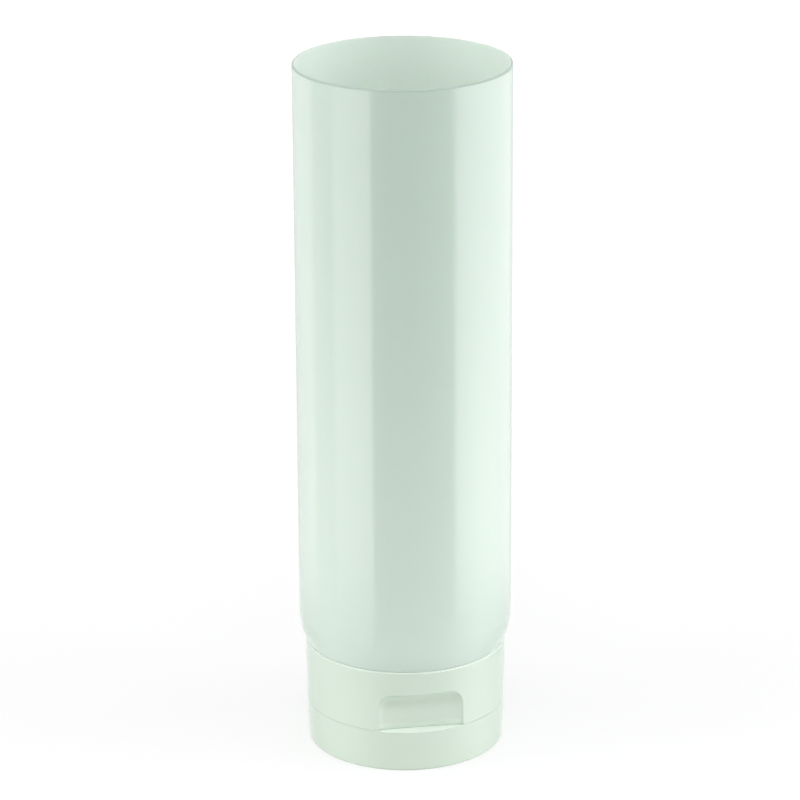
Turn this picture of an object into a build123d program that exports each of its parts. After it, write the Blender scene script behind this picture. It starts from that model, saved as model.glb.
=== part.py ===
from build123d import *
from math import asin, degrees, radians, sqrt, tan
import os

# Squeeze tube with a screw-on flip-top cap, standing on the cap with its open end up.
# Origin at the centre of the lid's flat face, +Z up along the tube, thumb recess towards -Y.
# Millimetres throughout. A z value ends in _z and is a height above the lid's face.

# Overall
total_height = 164.6
tube_radius = 25.0

# Tube sleeve
sleeve_wall = 0.5
rim_lip = 0.06
shoulder_tuck = 1.7
shoulder_tuck_radius = 14.13

# Tube head
head_flange_wall = 0.9
head_flange_setback = 1.6
head_seat_width = 1.4
shoulder_wall = 1.3
shoulder_slope = 16.0
neck_radius = 9.2
neck_wall = 1.5
neck_end_wall = 1.0
neck_orifice_radius = 4.0
neck_end_round = 0.4

# Cap, shared by base and lid
cap_setback = 1.38
cap_taper = 0.17
cap_top_z = 25.1
parting_z = 9.93
parting_gap = 0.03
cap_edge_round = 0.38
parting_edge_round = 0.06

# Cap base
skirt_wall = 1.3
deck_wall = 1.4
recess_width = 22.1
recess_side_lean = 2.0
recess_depth = 3.05
recess_top_z = 19.3
recess_corner_radius = 4.0
recess_root_round = 2.5
recess_edge_round = 0.35
recess_wall = 1.3
spigot_height = 1.5
spigot_wall = 1.2
snap_bead_height = 0.2
snap_bead_length = 12.0
snap_bead_drop = 0.8
spout_orifice_radius = 2.5
spout_root_wall = 1.9
spout_tip_wall = 1.0
spout_drop = 1.8

# Cap collar
collar_wall = 1.3
collar_mouth_chamfer = 0.3
thread_depth = 0.8

# Cap lid
lid_taper = 0.3
lid_foot_z = 1.9
lid_edge_taper = 0.12
lid_edge_round = 0.5
lid_wall = 1.3
lid_face_wall = 1.5
plug_wall = 0.8
plug_taper = 0.35
plug_reach = 2.2

# Film hinge
hinge_width = 13.0
hinge_reach = 0.55
hinge_web_wall = 1.5
hinge_film_radius = 0.35

# Clearances
shoulder_gap = 0.01
neck_end_gap = 0.08
collar_turn_gap = 0.02
collar_top_gap = 0.5
thread_gap = 0.15
spigot_gap = 0.35
plug_gap = 0.06
hinge_film_gap = 0.05

# Radii of the cap, which follow the tube's
cap_top_radius = tube_radius - cap_setback
cap_parting_radius = cap_top_radius - cap_taper
lid_foot_radius = cap_parting_radius - lid_taper
recess_back = cap_parting_radius - recess_depth


def cap_radius(z):
    """Outer radius of the cap's tapered side at height z above the parting line."""
    share = (z - parting_z) / (cap_top_z - parting_z)
    return cap_parting_radius + share * (cap_top_radius - cap_parting_radius)


def tangent_arc_height(tuck, radius):
    """Height over which an arc that starts upright moves inwards by tuck."""
    return sqrt(2 * radius * tuck - tuck**2)


# Heights and radii that follow from the sizes above
base_bottom_z = parting_z + parting_gap / 2
lid_top_z = parting_z - parting_gap / 2
deck_top_z = base_bottom_z + deck_wall
neck_end_z = deck_top_z + neck_end_gap
sleeve_end_z = cap_top_z + shoulder_gap
skirt_inner_radius = cap_parting_radius - skirt_wall
lid_inner_radius = cap_parting_radius - lid_wall

# Tube sleeve: extruded wall, tucked in at the shoulder end and rounded at the open rim
shoulder_arc_height = tangent_arc_height(shoulder_tuck, shoulder_tuck_radius)
shoulder_arc_centre = (tube_radius - shoulder_tuck_radius, sleeve_end_z + shoulder_arc_height)
shoulder_inner_arc = shoulder_tuck_radius - sleeve_wall


def arc_across(centre, radius, first_z, last_z):
    """Arc about centre, right of it, from height first_z to height last_z."""
    first = degrees(asin((first_z - centre[1]) / radius))
    last = degrees(asin((last_z - centre[1]) / radius))
    return CenterArc(centre, radius, first, last - first)


with BuildPart() as tube_sleeve:
    with BuildSketch(Plane.XZ) as sleeve_section:
        with BuildLine():
            outer_low = arc_across(
                shoulder_arc_centre, shoulder_tuck_radius, sleeve_end_z, shoulder_arc_centre[1]
            )
            inner_low = arc_across(
                shoulder_arc_centre, shoulder_inner_arc, sleeve_end_z, shoulder_arc_centre[1]
            )
            Polyline(
                outer_low @ 1,
                (tube_radius, total_height),
                (tube_radius - sleeve_wall, total_height),
                inner_low @ 1,
            )
            Line(outer_low @ 0, inner_low @ 0)
        make_face()
        rim_corner = sleeve_section.vertices().group_by(Axis.Y)[-1].sort_by(Axis.X)[-1]
        fillet(rim_corner, radius=sleeve_wall - rim_lip)
    revolve(axis=Axis.Z)
tube_sleeve.part.label = "tube_sleeve"

# Tube head: flange inside the sleeve's tucked end, flat seat, sloping shoulder, neck
seat_outer_radius = shoulder_arc_centre[0] + sqrt(
    shoulder_inner_arc**2 - shoulder_arc_height**2
)
seat_inner_radius = seat_outer_radius - head_seat_width
shoulder_drop = (seat_inner_radius - neck_radius) * tan(radians(shoulder_slope))
neck_root_z = sleeve_end_z - shoulder_drop
flange_top_z = shoulder_arc_centre[1] - head_flange_setback
neck_bore_radius = neck_radius - neck_wall
flange_inner_arc = shoulder_inner_arc - head_flange_wall

with BuildPart() as tube_head:
    with BuildSketch(Plane.XZ) as head_section:
        with BuildLine():
            flange_outer = arc_across(
                shoulder_arc_centre, shoulder_inner_arc, sleeve_end_z, flange_top_z
            )
            flange_inner = arc_across(
                shoulder_arc_centre, flange_inner_arc, sleeve_end_z + shoulder_wall, flange_top_z
            )
            Polyline(
                flange_outer @ 0,
                (seat_inner_radius, sleeve_end_z),
                (neck_radius, neck_root_z),
                (neck_radius, neck_end_z),
                (neck_orifice_radius, neck_end_z),
                (neck_orifice_radius, neck_end_z + neck_end_wall),
                (neck_bore_radius, neck_end_z + neck_end_wall),
                (neck_bore_radius, neck_root_z + shoulder_wall),
                (seat_inner_radius, sleeve_end_z + shoulder_wall),
                flange_inner @ 0,
            )
            Line(flange_outer @ 1, flange_inner @ 1)
        make_face()
        neck_corner = head_section.vertices().group_by(Axis.Y)[0].sort_by(Axis.X)[-1]
        fillet(neck_corner, radius=neck_end_round)
    revolve(axis=Axis.Z)
tube_head.part.label = "tube_head"

# Thumb recess: what is cut out of the skirt, with rounded upper corners and a rounded root
recess_depth_room = cap_top_radius - recess_back + skirt_wall
recess_middle_z = (base_bottom_z - recess_root_round + recess_top_z) / 2
recess_height = recess_top_z - base_bottom_z + recess_root_round

with BuildPart() as recess_form:
    with BuildSketch(Plane.XZ.offset(recess_back)) as recess_outline:
        with Locations((0, recess_middle_z)):
            Trapezoid(recess_width, recess_height, 90 - recess_side_lean)
        fillet(recess_outline.vertices().group_by(Axis.Y)[-1], radius=recess_corner_radius)
    extrude(amount=recess_depth_room)
    back_face = recess_form.faces().sort_by(Axis.Y)[-1]
    root_edges = back_face.edges().sort_by(Axis.Z)[1:]
    fillet(root_edges, radius=recess_root_round)

# Cap base: skirt and deck, pocket walls round the recess, spigot, spout and hinge webs
spout_tip_z = base_bottom_z - spout_drop
spout_root_radius = spout_orifice_radius + spout_root_wall
spout_tip_radius = spout_orifice_radius + spout_tip_wall
spigot_radius = lid_inner_radius - spigot_gap
land_front = recess_back - spigot_gap
spigot_front = land_front - spigot_gap
spigot_bottom_z = base_bottom_z - spigot_height
snap_bead_z = base_bottom_z - snap_bead_drop
hinge_y = cap_parting_radius + hinge_reach


def half_round(radius, length):
    """Round bar of the given length along X, centred on the working plane's origin."""
    Cylinder(radius, length, rotation=(0, 90, 0))


def truncated_disc(radius, front):
    """Disc about the Z axis, cut off flat at y = -front."""
    Circle(radius)
    with Locations((0, (radius - front) / 2)):
        Rectangle(2 * radius, radius + front, mode=Mode.INTERSECT)


with BuildPart() as cap_base:
    with BuildSketch(Plane.XZ):
        with BuildLine():
            Polyline(
                (0, base_bottom_z),
                (cap_radius(base_bottom_z), base_bottom_z),
                (cap_top_radius, cap_top_z),
                (skirt_inner_radius, cap_top_z),
                (skirt_inner_radius, deck_top_z),
                (0, deck_top_z),
                close=True,
            )
        make_face()
    revolve(axis=Axis.Z)
    skirt_top_edges = cap_base.edges().filter_by(GeomType.CIRCLE).group_by(Axis.Z)[-1]
    fillet(skirt_top_edges.sort_by(SortBy.RADIUS)[-1], radius=cap_edge_round)
    # Pocket walls behind and above the recess
    with BuildSketch(Plane.XY.offset(base_bottom_z)):
        Circle(cap_parting_radius - skirt_wall / 2)
        pocket_reach = cap_parting_radius - recess_back + recess_wall
        with Locations((0, -cap_parting_radius + pocket_reach / 2)):
            Rectangle(recess_width + 2 * recess_wall, pocket_reach, mode=Mode.INTERSECT)
    extrude(amount=recess_top_z + recess_wall - base_bottom_z)
    add(recess_form.part, mode=Mode.SUBTRACT)
    # Rounded edges of the recess, then of the skirt's foot on both sides of it
    skirt_side = cap_base.faces().filter_by(GeomType.CONE).sort_by(SortBy.AREA)[-1]
    recess_rim = skirt_side.edges().filter_by_position(
        Axis.Z, base_bottom_z, recess_top_z + recess_edge_round, inclusive=(False, True)
    )
    recess_rim = recess_rim.filter_by_position(Axis.X, -recess_width / 2, recess_width / 2)
    fillet(recess_rim.filter_by_position(Axis.Y, -cap_top_radius, 0), radius=recess_edge_round)
    skirt_foot_edge = cap_base.edges().group_by(Axis.Z)[0].sort_by(SortBy.LENGTH)[-1]
    fillet(skirt_foot_edge, radius=parting_edge_round)
    # Spigot that the lid closes over, with its snap bead at the front
    with BuildSketch(Plane.XY.offset(spigot_bottom_z)) as spigot_ring:
        truncated_disc(spigot_radius, spigot_front)
        offset(amount=-spigot_wall, kind=Kind.INTERSECTION, mode=Mode.SUBTRACT)
    extrude(amount=spigot_height)
    with Locations((0, -spigot_front, snap_bead_z)):
        half_round(snap_bead_height, snap_bead_length)
    # Spout
    with BuildSketch(Plane.XZ):
        with BuildLine():
            Polyline(
                (0, spout_tip_z),
                (spout_tip_radius, spout_tip_z),
                (spout_root_radius, base_bottom_z),
                (0, base_bottom_z),
                close=True,
            )
        make_face()
    revolve(axis=Axis.Z)
    with Locations((0, 0, deck_top_z)):
        Hole(spout_orifice_radius, deck_top_z - spout_tip_z)
    # Upper hinge web and the film's bead on the hinge axis
    with BuildSketch(Plane.YZ):
        with BuildLine():
            Polyline(
                (hinge_y - hinge_reach - skirt_wall / 2, base_bottom_z),
                (hinge_y, base_bottom_z),
                (hinge_y, parting_z + hinge_film_radius),
                (hinge_y - hinge_reach - skirt_wall / 2, base_bottom_z + hinge_web_wall),
                close=True,
            )
        make_face()
    extrude(amount=hinge_width / 2, both=True)
    with Locations((0, hinge_y, parting_z)):
        half_round(hinge_film_radius, hinge_width)
cap_base.part.label = "cap_base"

# Cap collar: plain bore with room for the thread ridges of neck and collar
collar_inner_radius = neck_radius + thread_depth + thread_gap
collar_outer_radius = collar_inner_radius + collar_wall
collar_bottom_z = deck_top_z + collar_turn_gap
shoulder_over_bore_z = neck_root_z + (collar_inner_radius - neck_radius) * tan(
    radians(shoulder_slope)
)
collar_top_z = shoulder_over_bore_z - collar_top_gap

with BuildPart() as cap_collar:
    with BuildSketch(Plane.XY.offset(collar_bottom_z)):
        Circle(collar_outer_radius)
        Circle(collar_inner_radius, mode=Mode.SUBTRACT)
    extrude(amount=collar_top_z - collar_bottom_z)
    collar_mouth = cap_collar.faces().sort_by(Axis.Z)[-1].edges()
    chamfer(collar_mouth, length=collar_mouth_chamfer)
cap_collar.part.label = "cap_collar"

# Cap lid: shallow shell with a front land under the recess, the sealing plug and a hinge web
lid_edge_radius = lid_foot_radius - lid_edge_taper
plug_radius = spout_orifice_radius - plug_gap
plug_tip_z = spout_tip_z + plug_reach

with BuildPart() as cap_lid:
    with BuildSketch(Plane.XZ) as lid_section:
        with BuildLine():
            Polyline(
                (0, 0),
                (lid_edge_radius, 0),
                (lid_foot_radius, lid_foot_z),
                (cap_radius(lid_top_z), lid_top_z),
                (0, lid_top_z),
                close=True,
            )
        make_face()
        foot_corner = lid_section.vertices().group_by(Axis.Y)[0].sort_by(Axis.X)[-1]
        lip_corner = lid_section.vertices().group_by(Axis.Y)[-1].sort_by(Axis.X)[-1]
        fillet(foot_corner, radius=lid_edge_round)
        fillet(lip_corner, radius=parting_edge_round)
    revolve(axis=Axis.Z)
    with BuildSketch(Plane.XY.offset(lid_face_wall)):
        truncated_disc(lid_inner_radius, land_front)
    extrude(amount=lid_top_z - lid_face_wall, mode=Mode.SUBTRACT)
    # Sealing plug
    with BuildSketch(Plane.XZ):
        with BuildLine():
            Polyline(
                (plug_radius - plug_wall, lid_face_wall),
                (plug_radius, lid_face_wall),
                (plug_radius, spout_tip_z),
                (plug_radius - plug_taper, plug_tip_z),
                (plug_radius - plug_wall, plug_tip_z),
                close=True,
            )
        make_face()
    revolve(axis=Axis.Z)
    # Lower hinge web, hollowed to clear the film's bead
    with BuildSketch(Plane.YZ):
        with BuildLine():
            Polyline(
                (hinge_y - hinge_reach - lid_wall / 2, lid_top_z),
                (hinge_y, lid_top_z),
                (hinge_y, parting_z - hinge_film_radius - hinge_film_gap - parting_gap),
                (hinge_y - hinge_reach - lid_wall / 2, lid_top_z - hinge_web_wall),
                close=True,
            )
        make_face()
    extrude(amount=hinge_width / 2, both=True)
    with Locations((0, hinge_y, parting_z)):
        Cylinder(
            hinge_film_radius + hinge_film_gap,
            hinge_width + 2 * hinge_film_gap,
            rotation=(0, 90, 0),
            mode=Mode.SUBTRACT,
        )
cap_lid.part.label = "cap_lid"

os.makedirs("parts", exist_ok=True)
for piece in (tube_sleeve, tube_head, cap_base, cap_collar, cap_lid):
    export_step(piece.part, f"parts/{piece.part.label}.step")
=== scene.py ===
from math import cos, pi, radians, sin

import bmesh
import bpy
from mathutils import Matrix, Vector


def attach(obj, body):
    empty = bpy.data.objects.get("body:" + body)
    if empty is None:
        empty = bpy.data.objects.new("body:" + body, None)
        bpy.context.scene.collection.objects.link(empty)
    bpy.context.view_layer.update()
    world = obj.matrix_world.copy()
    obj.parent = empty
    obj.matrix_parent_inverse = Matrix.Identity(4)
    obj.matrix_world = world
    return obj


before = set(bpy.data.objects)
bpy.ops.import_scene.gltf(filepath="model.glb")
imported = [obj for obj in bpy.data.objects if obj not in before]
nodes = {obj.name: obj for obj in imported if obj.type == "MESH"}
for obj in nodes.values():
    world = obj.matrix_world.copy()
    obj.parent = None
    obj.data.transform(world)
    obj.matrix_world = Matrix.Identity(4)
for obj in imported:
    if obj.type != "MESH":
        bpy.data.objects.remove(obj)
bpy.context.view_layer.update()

# Squeeze tube on its flip-top cap. Metres, Z up, the thumb recess towards -Y.
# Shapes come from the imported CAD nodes; this adds the screw threads, the finishes, the light and
# the camera.
MM = 0.001
WHITE = (1.0, 1.0, 1.0, 1.0)

# Sizes repeated from the CAD source, in millimetres
TOTAL_HEIGHT = 164.6
NECK_RADIUS = 9.2
COLLAR_INNER_RADIUS = 10.15
RECESS_BACK = 20.4
RECESS_FOOT_Z = 9.9

# Share of a face's direction that points away from the axis, from inside to outside
OUTWARD_TURNS = (-0.2, 0.1)


# Scene and node helpers
def new_object(name, data):
    """Object for a mesh, light or camera, linked to the scene."""
    made = bpy.data.objects.new(name, data)
    bpy.context.scene.collection.objects.link(made)
    return made


def emptied_tree(owner):
    """Node tree of a material or world, with its default nodes taken out."""
    owner.use_nodes = True
    owner.node_tree.nodes.clear()
    return owner.node_tree


def add_node(tree, kind, inputs=None, **settings):
    """Adds a shader node. A value in inputs is a number, a colour or another node's output."""
    node = tree.nodes.new(kind)
    for name, value in settings.items():
        setattr(node, name, value)
    for key, value in (inputs or {}).items():
        if isinstance(value, bpy.types.NodeSocket):
            tree.links.new(value, node.inputs[key])
        else:
            node.inputs[key].default_value = value
    return node


def math_node(tree, operation, *values):
    """Output of a Math node of the given operation."""
    return add_node(
        tree, "ShaderNodeMath", dict(enumerate(values)), operation=operation
    ).outputs[0]


def vector_node(tree, operation, *values):
    """Vector Math node of the given operation."""
    return add_node(
        tree, "ShaderNodeVectorMath", dict(enumerate(values)), operation=operation
    )


def ranged(tree, value, low, high, to_low, to_high):
    """Output that runs smoothly from to_low to to_high while value runs from low to high."""
    node = add_node(
        tree,
        "ShaderNodeMapRange",
        {"Value": value, 1: low, 2: high, 3: to_low, 4: to_high},
        interpolation_type="SMOOTHSTEP",
    )
    return node.outputs[0]


def noise(tree, vector, scale, detail=2.0, roughness=0.5, stretch=(1, 1, 1)):
    """Noise from 0 to 1 over an object's own coordinates, stretched along its axes."""
    mapping = add_node(tree, "ShaderNodeMapping", {"Vector": vector, "Scale": stretch})
    return add_node(
        tree,
        "ShaderNodeTexNoise",
        {
            "Vector": mapping.outputs[0],
            "Scale": scale,
            "Detail": detail,
            "Roughness": roughness,
        },
    ).outputs[0]


def mixed(tree, factor, first, second):
    """Colour between first and second."""
    node = add_node(tree, "ShaderNodeMix", {0: factor}, data_type="RGBA")
    for socket, value in ((node.inputs[6], first), (node.inputs[7], second)):
        if isinstance(value, bpy.types.NodeSocket):
            tree.links.new(value, socket)
        else:
            socket.default_value = (*value, 1.0)
    return node.outputs[2]


def blended(tree, first, second, first_share):
    """Two heights from 0 to 1, added up in shares that make one."""
    rest = math_node(tree, "MULTIPLY", second, 1.0 - first_share)
    return math_node(tree, "MULTIPLY_ADD", first, first_share, rest)


def bumped(tree, layers):
    """Normal from several (height, depth in metres) layers."""
    normal = None
    for height, depth in layers:
        inputs = {"Height": height, "Distance": depth, "Strength": 1.0}
        if normal is not None:
            inputs["Normal"] = normal
        normal = add_node(tree, "ShaderNodeBump", inputs).outputs[0]
    return normal


def object_coords(tree, output="Object"):
    """Place, or with output "Normal" the direction of the surface, in the object's own axes."""
    return tree.nodes.new("ShaderNodeTexCoord").outputs[output]


def separated(tree, vector):
    """X, Y and Z of a vector."""
    return add_node(tree, "ShaderNodeSeparateXYZ", {0: vector}).outputs


def facing_axis(tree, coords):
    """1 on surfaces that face the Z axis and 0 on those that face away from it."""
    outward = vector_node(tree, "MULTIPLY", coords, (1.0, 1.0, 0.0)).outputs[0]
    outward = vector_node(tree, "NORMALIZE", outward).outputs[0]
    turn = vector_node(tree, "DOT_PRODUCT", outward, object_coords(tree, "Normal"))
    return ranged(tree, turn.outputs["Value"], *OUTWARD_TURNS, 1.0, 0.0)


# Finishes. Pairs of colours and of roughness are the ends that noise runs between, NORMALS are
# the upward share of a face's direction, and depths under the rim, fades and margins are in
# millimetres. Noise scales are per metre; bump depths and scatter scales are in metres.
SLEEVE_OUTSIDE = ((0.518, 0.620, 0.551), (0.540, 0.638, 0.568))
# Inner face of the sleeve painted paler: painted light for the light that passes through the thin
# wall
SLEEVE_INSIDE_LIT = ((0.785, 0.850, 0.800), (0.803, 0.866, 0.818))
# Cut rim painted darker: painted shade against the light that falls on it from above
SLEEVE_RIM_SHADE = (0.30, 0.37, 0.325)
SLEEVE_GLOSS = (0.11, 0.14)
SLEEVE_DULL = (0.46, 0.54)
SLEEVE_IOR = 1.65
SLEEVE_SCATTER = 0.8
SLEEVE_SCATTER_SCALE = 0.0004
RIM_DEPTHS = (1.0, 0.6)
RIM_NORMALS = (0.03, 0.2)
HEAD_COLOURS = ((0.640, 0.730, 0.645), (0.600, 0.690, 0.605))
HEAD_ROUGHNESS = 0.42
CAP_COLOURS = ((0.540, 0.634, 0.546), (0.519, 0.613, 0.525))
CAP_ROUGHNESS = 0.225
MOULDED_IOR = 1.70
MOULDED_SCATTER = 0.6
MOULDED_SCATTER_SCALE = 0.0001
ROUGHNESS_BELOW = 0.03
ROUGHNESS_ABOVE = 0.04
SCATTER_RADIUS = (1.0, 1.2, 1.0)
NOISE_MIDDLE = (0.25, 0.75)
SLEEVE_BLOTCHES = {"scale": 28.0, "detail": 3.0}
SLEEVE_STREAKS = {"scale": 420.0, "stretch": (1, 1, 0.012)}
SLEEVE_PEEL = {"scale": 160.0}
SLEEVE_WAVES = {"scale": 45.0, "detail": 1.0, "stretch": (1, 1, 0.15)}
BLOTCH_SHARE = 0.7
MOULDED_FLOW = {"scale": 35.0, "detail": 3.0, "roughness": 0.55}
MOULDED_SPECKS = {"scale": 700.0}
MOULDED_GRAIN = {"scale": 2600.0, "roughness": 0.6}
FLOW_SHARE = 0.75
WAVE_DEPTH = 0.00001
GRAIN_DEPTH = 0.0000012
# Painted light: upturned faces of the moulded parts are paler, as if lit from above
TOP_LIGHT_COLOUR = (0.725, 0.795, 0.730)
TOP_LIGHT_NORMALS = (0.35, 0.9)
# Painted light on the back of the thumb recess, lighter towards its foot
RECESS_FOOT_LIGHT_COLOUR = (0.690, 0.770, 0.695)
RECESS_BACK_FADE = (0.3, 0.6)
RECESS_SIDE_FADE = (9.2, 10.2)
RECESS_FAINT_SHARE = 0.3
RECESS_FAINT_FADE = (14.2, 16.6)
RECESS_PALE_FADE = (10.4, 11.8)
LID_MARGIN = 0.2


def plastic(name):
    """Material with its node tree, its shader and the object's coordinates."""
    material = bpy.data.materials.new(name)
    material.use_nodes = True
    tree = material.node_tree
    return material, tree, tree.nodes["Principled BSDF"], object_coords(tree)


def set_body(shader, ior, scatter, scatter_scale):
    """Strength of the gloss, and how far light spreads below the surface."""
    shader.inputs["IOR"].default_value = ior
    shader.inputs["Subsurface Weight"].default_value = scatter
    shader.inputs["Subsurface Radius"].default_value = SCATTER_RADIUS
    shader.inputs["Subsurface Scale"].default_value = scatter_scale


def sleeve_finish():
    """Glossy extruded polyethylene, fine draw lines outside; painted light on the satin inner
    face, painted shade on the matt cut rim.
    """
    material, tree, shader, coords = plastic("sleeve_plastic")
    inner = facing_axis(tree, coords)
    height = separated(tree, coords)[2]
    upward = separated(tree, object_coords(tree, "Normal"))[2]
    rim_low, rim_high = ((TOTAL_HEIGHT - depth) * MM for depth in RIM_DEPTHS)
    rim = math_node(
        tree,
        "MULTIPLY",
        ranged(tree, upward, *RIM_NORMALS, 0.0, 1.0),
        ranged(tree, height, rim_low, rim_high, 0.0, 1.0),
    )
    blotches = noise(tree, coords, **SLEEVE_BLOTCHES)
    streaks = noise(tree, coords, **SLEEVE_STREAKS)
    outside = mixed(tree, blended(tree, blotches, streaks, BLOTCH_SHARE), *SLEEVE_OUTSIDE)
    # Painted light: the inner face is paler, as if lit through the thin wall
    lit_inside = mixed(tree, blotches, *SLEEVE_INSIDE_LIT)
    wall = mixed(tree, inner, outside, lit_inside)
    # Painted shade: the upturned cut rim is darkened
    tree.links.new(mixed(tree, rim, wall, SLEEVE_RIM_SHADE), shader.inputs["Base Color"])
    gloss = ranged(tree, blotches, *NOISE_MIDDLE, *SLEEVE_GLOSS)
    dull = ranged(tree, blotches, *NOISE_MIDDLE, *SLEEVE_DULL)
    matt = math_node(tree, "MAXIMUM", inner, rim)
    rough = add_node(tree, "ShaderNodeMix", {0: matt, 2: gloss, 3: dull}, data_type="FLOAT")
    tree.links.new(rough.outputs[0], shader.inputs["Roughness"])
    set_body(shader, SLEEVE_IOR, SLEEVE_SCATTER, SLEEVE_SCATTER_SCALE)
    peel = noise(tree, coords, **SLEEVE_PEEL)
    waves = noise(tree, coords, **SLEEVE_WAVES)
    normal = bumped(tree, [(waves, WAVE_DEPTH), (peel, GRAIN_DEPTH)])
    tree.links.new(normal, shader.inputs["Normal"])
    return material


def moulded_finish(name, light, dark, roughness):
    """Satin injection-moulded plastic: fine eroded grain, flow marks, and upturned faces painted
    paler as painted light from above.
    """
    material, tree, shader, coords = plastic(name)
    flow = noise(tree, coords, **MOULDED_FLOW)
    specks = noise(tree, coords, **MOULDED_SPECKS)
    upward = separated(tree, object_coords(tree, "Normal"))[2]
    # Painted light from above makes upturned faces paler
    painted_top_light = ranged(tree, upward, *TOP_LIGHT_NORMALS, 0.0, 1.0)
    body = mixed(tree, blended(tree, flow, specks, FLOW_SHARE), dark, light)
    tree.links.new(mixed(tree, painted_top_light, body, TOP_LIGHT_COLOUR), shader.inputs["Base Color"])
    smooth, rough = roughness - ROUGHNESS_BELOW, roughness + ROUGHNESS_ABOVE
    spread = ranged(tree, flow, *NOISE_MIDDLE, smooth, rough)
    tree.links.new(spread, shader.inputs["Roughness"])
    set_body(shader, MOULDED_IOR, MOULDED_SCATTER, MOULDED_SCATTER_SCALE)
    grain = noise(tree, coords, **MOULDED_GRAIN)
    normal = bumped(tree, [(flow, WAVE_DEPTH), (grain, GRAIN_DEPTH)])
    tree.links.new(normal, shader.inputs["Normal"])
    return material


def fade_out(tree, length, limits, share):
    """Share up to the first of two limits in millimetres, 0 past the second."""
    low, high = limits
    return ranged(tree, length, low * MM, high * MM, share, 0.0)


def painted_recess_foot_light(material):
    """Painted light: lightens the back of the thumb recess towards its foot, standing in for light
    bounced up from the lid below.
    """
    tree = material.node_tree
    base_colour = tree.nodes["Principled BSDF"].inputs["Base Color"]
    colour = base_colour.links[0].from_socket
    across, along, height = separated(tree, object_coords(tree))
    off_back = math_node(tree, "ADD", along, RECESS_BACK * MM)
    masks = [
        fade_out(tree, math_node(tree, "ABSOLUTE", off_back), RECESS_BACK_FADE, 1.0),
        fade_out(tree, math_node(tree, "ABSOLUTE", across), RECESS_SIDE_FADE, 1.0),
        math_node(
            tree,
            "ADD",
            fade_out(tree, height, RECESS_FAINT_FADE, RECESS_FAINT_SHARE),
            fade_out(tree, height, RECESS_PALE_FADE, 1.0 - RECESS_FAINT_SHARE),
        ),
        # The lid has the same finish, and its face below keeps its own colour
        math_node(tree, "GREATER_THAN", height, (RECESS_FOOT_Z - LID_MARGIN) * MM),
    ]
    share = masks[0]
    for mask in masks[1:]:
        share = math_node(tree, "MULTIPLY", share, mask)
    tree.links.new(mixed(tree, share, colour, RECESS_FOOT_LIGHT_COLOUR), base_colour)


sleeve_plastic = sleeve_finish()
head_plastic = moulded_finish("head_plastic", *HEAD_COLOURS, HEAD_ROUGHNESS)
cap_plastic = moulded_finish("cap_plastic", *CAP_COLOURS, CAP_ROUGHNESS)
painted_recess_foot_light(cap_plastic)

for node_name, finish in (
    ("tube_sleeve", sleeve_plastic),
    ("tube_head", head_plastic),
    ("cap_base", cap_plastic),
    ("cap_collar", cap_plastic),
    ("cap_lid", cap_plastic),
):
    nodes[node_name].data.materials.clear()
    nodes[node_name].data.materials.append(finish)


# Screw threads, in millimetres
THREAD_PITCH = 4.0
THREAD_START_Z = 12.6
THREAD_ROOT_HALF = 0.9
THREAD_CREST_HALF = 0.3
THREAD_EMBED = 0.1
THREAD_STEPS_PER_TURN = 96
RUN_OUT_SHARE = 0.12
LOWEST_RISE = 0.02
NECK_CREST_RADIUS = 10.0
NECK_TURNS = 1.75
COLLAR_CREST_RADIUS = 9.35
COLLAR_TURNS = 1.5


def thread_ridge(name, root_radius, crest_radius, turns, phase):
    """Right-hand trapezoid ridge round the Z axis that runs out at both ends."""
    embed = THREAD_EMBED if crest_radius > root_radius else -THREAD_EMBED
    bm = bmesh.new()
    rows = []
    count = int(turns * THREAD_STEPS_PER_TURN)
    for step in range(count + 1):
        share = step / count
        angle = phase + 2 * pi * turns * share
        z = THREAD_START_Z + THREAD_PITCH * turns * share
        rise = min(1.0, share / RUN_OUT_SHARE, (1 - share) / RUN_OUT_SHARE)
        rise = sin(rise * pi / 2) ** 2 if rise > 0 else 0.0
        crest = root_radius + (crest_radius - root_radius) * max(rise, LOWEST_RISE)
        profile = (
            (root_radius - embed, -THREAD_ROOT_HALF),
            (root_radius, -THREAD_ROOT_HALF),
            (crest, -THREAD_CREST_HALF),
            (crest, THREAD_CREST_HALF),
            (root_radius, THREAD_ROOT_HALF),
            (root_radius - embed, THREAD_ROOT_HALF),
        )
        rows.append(
            [
                bm.verts.new((r * MM * cos(angle), r * MM * sin(angle), (z + dz) * MM))
                for r, dz in profile
            ]
        )
    for first, second in zip(rows, rows[1:]):
        for i in range(len(first)):
            j = (i + 1) % len(first)
            bm.faces.new((first[i], first[j], second[j], second[i]))
    bm.faces.new(rows[0])
    bm.faces.new(rows[-1])
    bmesh.ops.recalc_face_normals(bm, faces=bm.faces)
    mesh = bpy.data.meshes.new(name)
    bm.to_mesh(mesh)
    bm.free()
    return new_object(name, mesh)


neck_thread = thread_ridge("neck_thread", NECK_RADIUS, NECK_CREST_RADIUS, NECK_TURNS, 0.0)
neck_thread.data.materials.append(head_plastic)
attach(neck_thread, "tube")

collar_thread = thread_ridge(
    "collar_thread", COLLAR_INNER_RADIUS, COLLAR_CREST_RADIUS, COLLAR_TURNS, pi
)
collar_thread.data.materials.append(cap_plastic)
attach(collar_thread, "cap")


# Floor, pale all over, that keeps the object's shadow. Its own glow rises away from the object,
# over the spread of distances in metres. Where it is seen it shows the lamps' light less.
FLOOR_HALF = 4.0
FLOOR_GLOW_NEAR = 0.66
FLOOR_GLOW_FAR = 0.90
FLOOR_GLOW_SPREAD = (0.05, 0.6)
FLOOR_SHOWN_TONE = 0.28
FLOOR_TONE = 0.86


def seen_directly(tree):
    """1 for camera, glossy and transmission rays, 0 for the others."""
    path = tree.nodes.new("ShaderNodeLightPath")
    either = math_node(
        tree, "MAXIMUM", path.outputs["Is Camera Ray"], path.outputs["Is Glossy Ray"]
    )
    return math_node(tree, "MAXIMUM", either, path.outputs["Is Transmission Ray"])


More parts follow.
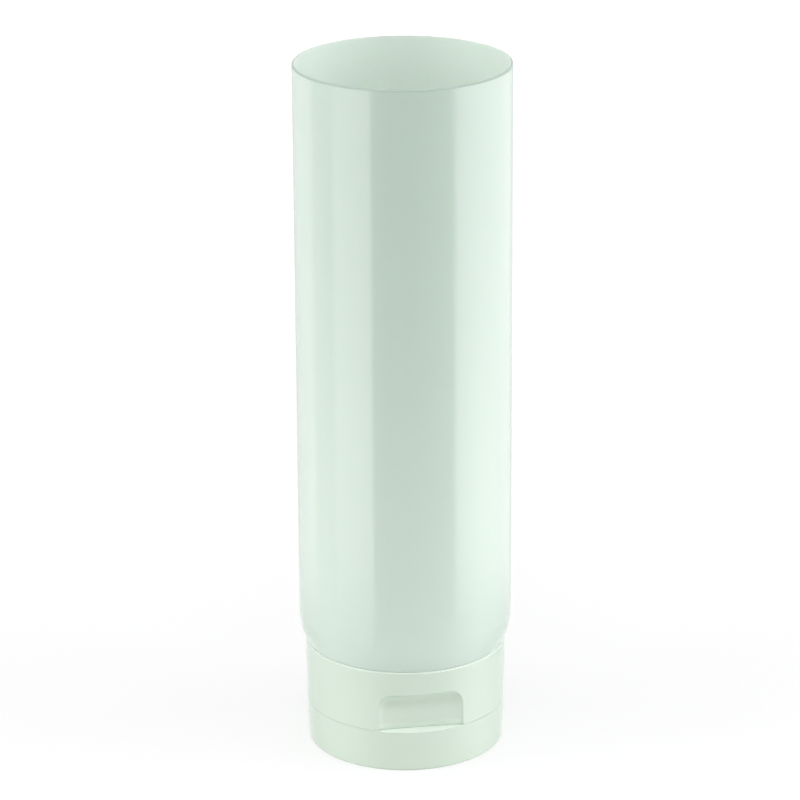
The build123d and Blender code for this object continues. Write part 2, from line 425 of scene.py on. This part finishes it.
def make_floor():
    """Sheet of paper that the tube stands on."""
    mesh = bpy.data.meshes.new("floor")
    corners = [(-FLOOR_HALF, -FLOOR_HALF), (FLOOR_HALF, -FLOOR_HALF)]
    corners += [(FLOOR_HALF, FLOOR_HALF), (-FLOOR_HALF, FLOOR_HALF)]
    mesh.from_pydata([(x, y, 0.0) for x, y in corners], [], [(0, 1, 2, 3)])
    floor = new_object("floor", mesh)
    material = bpy.data.materials.new("floor_paper")
    tree = emptied_tree(material)
    paper, shown_paper = (
        add_node(tree, "ShaderNodeBsdfDiffuse", {"Color": (tone, tone, tone, 1.0)}).outputs[0]
        for tone in (FLOOR_TONE, FLOOR_SHOWN_TONE)
    )
    away = vector_node(tree, "LENGTH", object_coords(tree)).outputs["Value"]
    level = ranged(tree, away, *FLOOR_GLOW_SPREAD, FLOOR_GLOW_NEAR, FLOOR_GLOW_FAR)
    glow = add_node(tree, "ShaderNodeEmission", {"Color": WHITE, "Strength": level})
    lit = add_node(tree, "ShaderNodeAddShader", {0: shown_paper, 1: glow.outputs[0]})
    shown = add_node(
        tree, "ShaderNodeMixShader", {0: seen_directly(tree), 1: paper, 2: lit.outputs[0]}
    )
    add_node(tree, "ShaderNodeOutputMaterial", {"Surface": shown.outputs[0]})
    mesh.materials.append(material)
    # The reflections in the tube's upright wall pass through the floor to the light tent
    floor.visible_glossy = False


make_floor()

# World: soft ambient light, white where it is seen directly
WORLD_LIGHT = 0.30
BACKDROP_LIGHT = 1.0

world = bpy.data.worlds.new("studio")
bpy.context.scene.world = world
world_tree = emptied_tree(world)
ambient, backdrop = (
    add_node(world_tree, "ShaderNodeBackground", {"Color": WHITE, "Strength": strength})
    for strength in (WORLD_LIGHT, BACKDROP_LIGHT)
)
world_mix = add_node(
    world_tree,
    "ShaderNodeMixShader",
    {0: seen_directly(world_tree), 1: ambient.outputs[0], 2: backdrop.outputs[0]},
)
add_node(world_tree, "ShaderNodeOutputWorld", {"Surface": world_mix.outputs[0]})

# Camera, fitted to the photograph. Angles in radians, azimuth from -Y.
CAMERA_DISTANCE = 0.81343
CAMERA_HEIGHT = 0.37318
CAMERA_AZIMUTH = -0.16041
CAMERA_YAW = -0.00119
CAMERA_PITCH = 0.34171
CAMERA_ROLL = -0.00571
CAMERA_CLIP_START = 0.05
CAMERA_CLIP_END = 20.0
FOCAL_PIXELS = 3717.9
PHOTO_PIXELS = 800
SENSOR_WIDTH = 36.0


def round_the_tube(angle, distance, height):
    """Place at an angle from -Y, a distance from the tube's axis and a height."""
    return Vector((distance * sin(angle), -distance * cos(angle), height))


def make_camera():
    """Camera at the photograph's place, with its focal length for a square picture."""
    heading = CAMERA_YAW - CAMERA_AZIMUTH
    forward = Vector(
        (
            sin(heading) * cos(CAMERA_PITCH),
            cos(heading) * cos(CAMERA_PITCH),
            -sin(CAMERA_PITCH),
        )
    )
    level_right = Vector((cos(heading), -sin(heading), 0.0))
    level_up = level_right.cross(forward)
    right = level_right * cos(CAMERA_ROLL) + level_up * sin(CAMERA_ROLL)
    up = level_up * cos(CAMERA_ROLL) - level_right * sin(CAMERA_ROLL)
    turned = Matrix((right, up, -forward)).transposed().to_4x4()
    place = round_the_tube(CAMERA_AZIMUTH, CAMERA_DISTANCE, CAMERA_HEIGHT)
    data = bpy.data.cameras.new("camera")
    data.sensor_fit = "HORIZONTAL"
    data.sensor_width = SENSOR_WIDTH
    data.lens = FOCAL_PIXELS * SENSOR_WIDTH / PHOTO_PIXELS
    data.clip_start = CAMERA_CLIP_START
    data.clip_end = CAMERA_CLIP_END
    camera = new_object("camera", data)
    camera.matrix_world = Matrix.Translation(place) @ turned
    bpy.context.scene.camera = camera


make_camera()


# Softboxes, placed by their direction from the tube, in degrees from the photograph's camera.
# Distances, heights and sizes are in metres.
def softbox(
    name, azimuth, distance, height, size, radiance, tint=(1.0, 1.0, 1.0), in_gloss=False
):
    """Soft light at a height, turned to the middle of the tube. The gloss shows it or not."""
    data = bpy.data.lights.new(name, "AREA")
    data.shape = "RECTANGLE"
    data.size, data.size_y = size
    data.energy = radiance * size[0] * size[1] * pi
    data.color = tint
    light = new_object(name, data)
    place = round_the_tube(CAMERA_AZIMUTH + radians(azimuth), distance, height)
    inward = Vector((0.0, 0.0, TOTAL_HEIGHT * MM / 2)) - place
    turn = inward.to_track_quat("-Z", "Y").to_matrix().to_4x4()
    light.matrix_world = Matrix.Translation(place) @ turn
    light.visible_camera = False
    light.visible_glossy = in_gloss


softbox("softbox_left", -85.0, 1.2, 0.25, (0.9, 1.4), 2.2)
softbox("softbox_right", 85.0, 1.2, 0.25, (0.9, 1.4), 2.75, (0.99, 0.99, 1.03))
softbox("softbox_back", 180.0, 1.2, 0.35, (1.4, 1.0), 0.70)
softbox("softbox_front", 0.0, 0.55, 1.15, (0.6, 0.5), 3.8, in_gloss=True)
softbox("softbox_front_left", -60.0, 0.8, 0.9, (0.6, 0.6), 1.9, in_gloss=True)
softbox("softbox_front_right", 60.0, 0.8, 0.9, (0.6, 0.6), 1.7, in_gloss=True)
softbox("softbox_top", 180.0, 0.1, 1.15, (0.8, 0.8), 2.0, in_gloss=True)

FLOOR_LAMP_RADIUS = 0.22
FLOOR_LAMP_RADIANCE = 0.22
FLOOR_LAMP_Z = 0.0004


def floor_lamp():
    """Disc of light on the paper, as a light table gives it: it lifts the tones near the floor."""
    data = bpy.data.lights.new("floor_lamp", "AREA")
    data.shape = "DISK"
    data.size = 2 * FLOOR_LAMP_RADIUS
    data.energy = FLOOR_LAMP_RADIANCE * pi * (pi * FLOOR_LAMP_RADIUS**2)
    light = new_object("floor_lamp", data)
    turn = Matrix.Rotation(pi, 4, "X")
    light.matrix_world = Matrix.Translation((0.0, 0.0, FLOOR_LAMP_Z)) @ turn
    light.visible_camera = False
    light.visible_glossy = False


floor_lamp()


# Light tent: what the gloss reflects. Its tone changes with direction, as panels and gaps do.
# Directions are in degrees from the photograph's camera, left to right.
TENT_RADIUS = 1.6
TENT_LOW = -7.5
TENT_HIGH = 2.4
TENT_STEPS = 180
PANEL_LOW = -0.62
PANEL_LOW_BLUR = 0.03
PANEL_HIGH = -0.272
PANEL_HIGH_BLUR = 0.012
PANEL_END_TONE = 1.0
HORIZON_LOW = -0.08
HORIZON_HIGH = 0.10
HORIZON_TONE = 1.85
FLOOR_SHEEN = 1.13
SHEEN_COLOUR = (0.97, 1.0, 0.88, 1.0)
SHEEN_FADE_LOW = -3.5
SHEEN_FADE_HIGH = -0.9
SHEEN_LEFT_BELOW = 0.25
FRONT_HALF = 80.0
FRONT_FADED = 135.0
TENT_TONES = (
    (-180.0, 0.70),
    (-160.0, 0.95),
    (-143.0, 1.30),
    (-128.0, 1.75),
    (-111.0, 2.20),
    (-109.5, 1.70),
    (-79.0, 1.72),
    (-77.5, 2.50),
    (-50.0, 2.77),
    (-34.0, 2.56),
    (-32.5, 0.71),
    (-15.0, 0.53),
    (35.0, 0.50),
    (54.0, 0.71),
    (57.0, 2.55),
    (80.0, 2.85),
    (100.0, 2.60),
    (115.0, 2.20),
    (127.0, 2.00),
    (140.0, 1.70),
    (160.0, 1.00),
    (180.0, 0.70),
)


def drum_mesh():
    """Open upright drum round the object."""
    bm = bmesh.new()
    low, high = [], []
    for i in range(TENT_STEPS):
        angle = 2 * pi * i / TENT_STEPS
        x, y = TENT_RADIUS * cos(angle), TENT_RADIUS * sin(angle)
        low.append(bm.verts.new((x, y, TENT_LOW)))
        high.append(bm.verts.new((x, y, TENT_HIGH)))
    for i in range(TENT_STEPS):
        j = (i + 1) % TENT_STEPS
        bm.faces.new((low[i], low[j], high[j], high[i]))
    mesh = bpy.data.meshes.new("light_tent")
    bm.to_mesh(mesh)
    bm.free()
    return mesh


def tone_ramp(tree, share, interpolation, brightest):
    """Tones of the tent by share of the way round, as parts of the brightest."""
    ramp = tree.nodes.new("ShaderNodeValToRGB")
    tree.links.new(share, ramp.inputs[0])
    ramp.color_ramp.interpolation = interpolation
    stops = ramp.color_ramp.elements
    while len(stops) < len(TENT_TONES):
        stops.new(0.5)
    for stop, (azimuth, tone) in zip(stops, TENT_TONES):
        stop.position = azimuth / 360.0 + 0.5
        level = tone / brightest
        stop.color = (level, level, level, 1.0)
    return ramp.outputs[0]


def tent_material():
    """Panels, crisp low down and blurred above, with the sheen of paper and horizon in front."""
    material = bpy.data.materials.new("tent_cloth")
    tree = emptied_tree(material)
    turned_back = add_node(
        tree,
        "ShaderNodeMapping",
        {"Vector": object_coords(tree), "Rotation": (0.0, 0.0, -CAMERA_AZIMUTH)},
    )
    across, along, height = separated(tree, turned_back.outputs[0])
    direction = math_node(tree, "ARCTAN2", across, math_node(tree, "MULTIPLY", along, -1.0))
    share = math_node(tree, "MULTIPLY_ADD", direction, 0.5 / pi, 0.5)
    brightest = max(tone for _, tone in TENT_TONES)
    crisp, soft = (
        tone_ramp(tree, share, interpolation, brightest)
        for interpolation in ("LINEAR", "B_SPLINE")
    )
    raised = ranged(tree, height, PANEL_HIGH, PANEL_HIGH + PANEL_HIGH_BLUR, 0.0, 1.0)
    blurred = mixed(tree, raised, crisp, soft)
    lowered = ranged(
        tree, height, PANEL_LOW - PANEL_LOW_BLUR, PANEL_LOW + PANEL_LOW_BLUR, 1.0, 0.0
    )
    shade = mixed(tree, lowered, blurred, (PANEL_END_TONE / brightest,) * 3)
    panels = add_node(tree, "ShaderNodeEmission", {"Color": shade, "Strength": brightest})
    # The paper, brighter near the object, is reflected more towards the tube's foot
    sheen = ranged(tree, height, PANEL_LOW, PANEL_HIGH, FLOOR_SHEEN, 0.0)
    deep = ranged(tree, height, SHEEN_FADE_LOW, SHEEN_FADE_HIGH, SHEEN_LEFT_BELOW, 1.0)
    sheen = math_node(tree, "MULTIPLY", sheen, deep)
    aside = math_node(tree, "ABSOLUTE", direction)
    frontal = ranged(tree, aside, radians(FRONT_HALF), radians(FRONT_FADED), 1.0, 0.0)
    sheen = math_node(tree, "MULTIPLY", sheen, frontal)
    # Above the horizon the front is brighter, which draws light lines on upturned edges
    risen = ranged(tree, height, HORIZON_LOW, HORIZON_HIGH, 0.0, HORIZON_TONE)
    sheen = math_node(tree, "MULTIPLY_ADD", risen, frontal, sheen)
    paper = add_node(tree, "ShaderNodeEmission", {"Color": SHEEN_COLOUR, "Strength": sheen})
    glow = add_node(
        tree, "ShaderNodeAddShader", {0: panels.outputs[0], 1: paper.outputs[0]}
    )
    add_node(tree, "ShaderNodeOutputMaterial", {"Surface": glow.outputs[0]})
    material.cycles.emission_sampling = "NONE"
    return material


def make_tent():
    """Drum that only glossy rays see."""
    tent = new_object("light_tent", drum_mesh())
    tent.data.materials.append(tent_material())
    tent.visible_camera = False
    tent.visible_diffuse = False
    tent.visible_transmission = False
    tent.visible_shadow = False


make_tent()

bpy.context.scene.view_settings.view_transform = "Standard"
